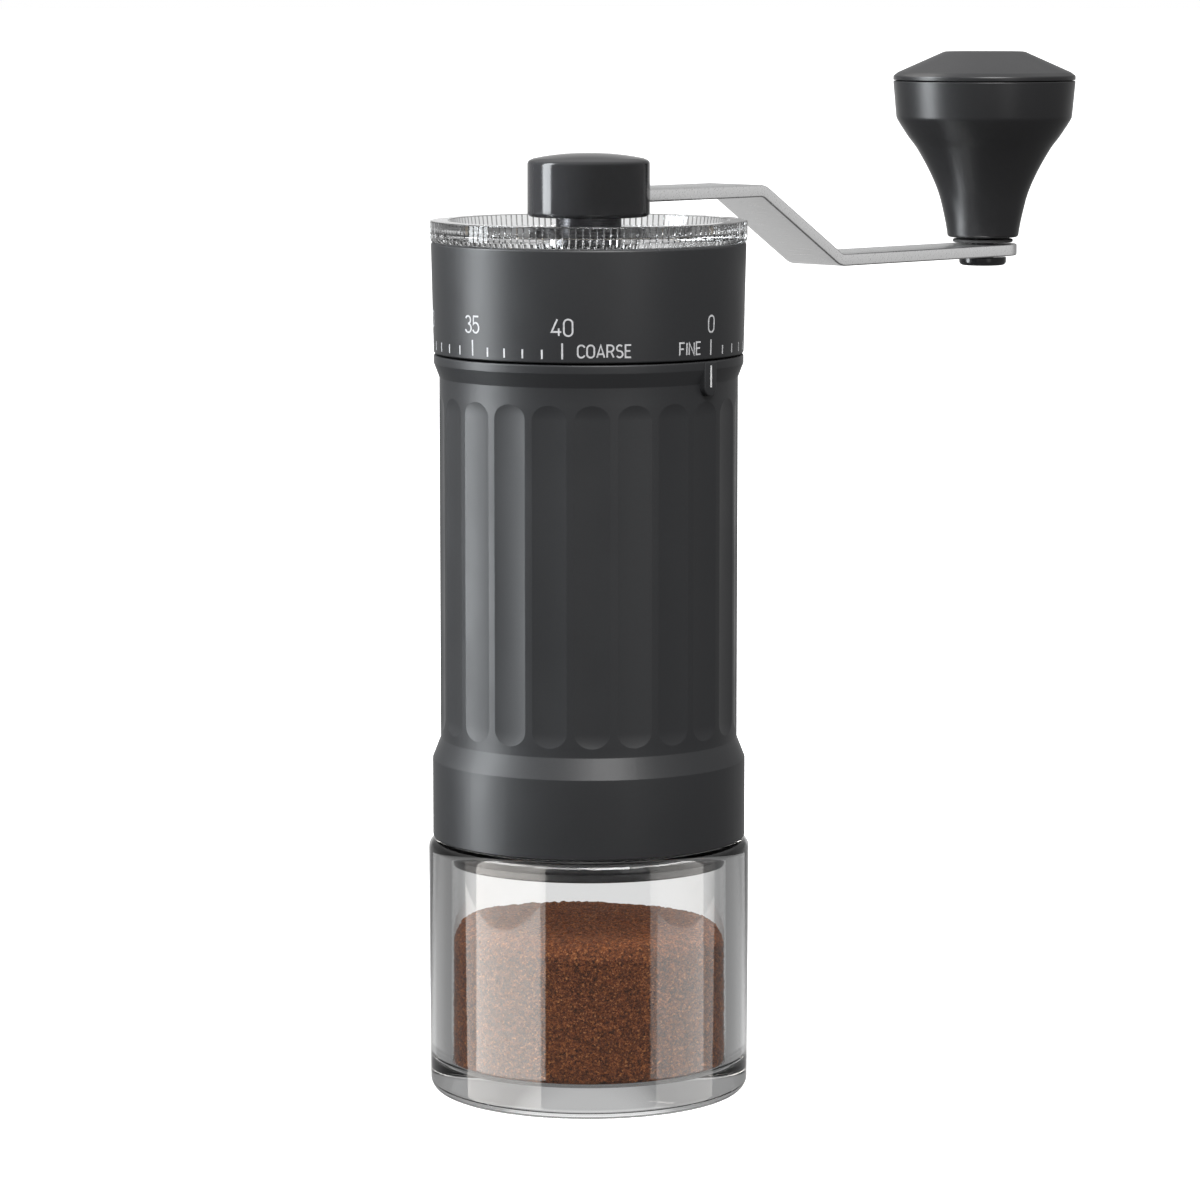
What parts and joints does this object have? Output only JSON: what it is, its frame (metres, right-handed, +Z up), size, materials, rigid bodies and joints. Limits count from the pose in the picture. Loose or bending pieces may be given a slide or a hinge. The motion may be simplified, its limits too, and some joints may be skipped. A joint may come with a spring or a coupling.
{
  "type": "hand crank coffee grinder",
  "caption": "Cylindrical hand coffee grinder with a fluted metal grip, numbered adjusting dial, clear lid, bent steel crank with a black knob, and a clear jar of ground coffee below.",
  "frame": {"origin": "centre of the underside of the glass jar, where the grinder stands", "axes": "+Z up along the body's axis, +X towards the crank's knob"},
  "size_m": [0.145, 0.0544, 0.1749],
  "materials": {
    "anodised_black": "matt black anodised, fine bead-blasted",
    "inner_aluminium": "machined and anodised grey",
    "brushed_steel": "brushed along the strip, polished edges",
    "machined_steel": "turned and ground",
    "brass": "turned",
    "black_gloss": "glossy moulded",
    "black_satin": "satin moulded",
    "silicone": "matt",
    "clear_glass": "clear, thick walled",
    "clear_plastic": "clear with a ribbed rim",
    "ground_coffee": "granular, matt, mixed light and dark brown"
  },
  "bodies": {
    "housing": {"grip_body": "anodised_black", "index_marker": "black_gloss", "detent_ball": "machined_steel", "detent_spring": "machined_steel", "dial_clip": "machined_steel", "lower_bridge": "inner_aluminium", "lower_bearing_outer_race": "machined_steel", "lower_bearing_balls": "machined_steel", "ring_burr": "machined_steel", "neck_ring": "black_satin"},
    "dial": {"dial_ring": "anodised_black", "dial_nut": "brass"},
    "carriage": {"upper_bridge": "inner_aluminium", "upper_bearing_outer_race": "machined_steel", "upper_bearing_balls": "machined_steel"},
    "spindle": {"drive_shaft": "machined_steel", "shaft_clip": "machined_steel", "upper_bearing_inner_race": "machined_steel", "lower_bearing_inner_race": "machined_steel", "cone_burr": "machined_steel", "burr_washer": "machined_steel", "burr_nut": "machined_steel", "burr_spring": "machined_steel"},
    "crank": {"crank_arm": "brushed_steel", "hub_socket": "machined_steel", "lid_clip": "machined_steel", "hub_screw": "machined_steel", "crank_cap": "black_gloss", "knob_pin": "black_satin", "pin_washer": "black_satin", "knob_retainer": "machined_steel"},
    "knob": {"knob_body": "black_satin", "knob_cap": "black_satin", "knob_bush": "brass"},
    "lid": {"lid": "clear_plastic"},
    "jar_seat": {"jar_seal": "silicone"},
    "jar": {"jar": "clear_glass", "coffee_grounds": "ground_coffee"}
  },
  "joints": [
    {"name": "dial_turn", "type": "hinge", "parent": "housing", "child": "dial", "pos_m": [0, 0, 0.135], "axis": [0, 0, -1], "range_deg": [0, 300]},
    {"name": "burr_lift", "type": "slide", "parent": "housing", "child": "carriage", "axis": [0, 0, -1], "range_m": [0, 0.000834]},
    {"name": "crank_turn", "type": "hinge", "parent": "carriage", "child": "spindle", "pos_m": [0, 0, 0.1375], "axis": [0, 0, -1], "continuous": true},
    {"name": "crank_pull", "type": "slide", "parent": "spindle", "child": "crank", "axis": [0, 0, 1], "range_m": [0, 0.03]},
    {"name": "knob_spin", "type": "hinge", "parent": "crank", "child": "knob", "pos_m": [0.1013, 0, 0.1535], "axis": [0, 0, 1], "continuous": true},
    {"name": "lid_lift", "type": "slide", "parent": "dial", "child": "lid", "axis": [0, 0, 1], "range_m": [0, 0.03]},
    {"name": "jar_drop", "type": "slide", "parent": "housing", "child": "jar_seat", "axis": [0, 0, -1], "range_m": [0, 0.005]},
    {"name": "jar_turn", "type": "hinge", "parent": "jar_seat", "child": "jar", "pos_m": [0, 0, 0.0415], "axis": [0, 0, -1], "range_deg": [0, 720]}
  ],
  "couplings": [
    {"joint": "burr_lift", "follows": "dial_turn", "m_per_rad": 0.00015915},
    {"joint": "lid_lift", "follows": "crank_pull", "ratio": 1},
    {"joint": "jar_drop", "follows": "jar_turn", "m_per_rad": 0.00039789}
  ]
}
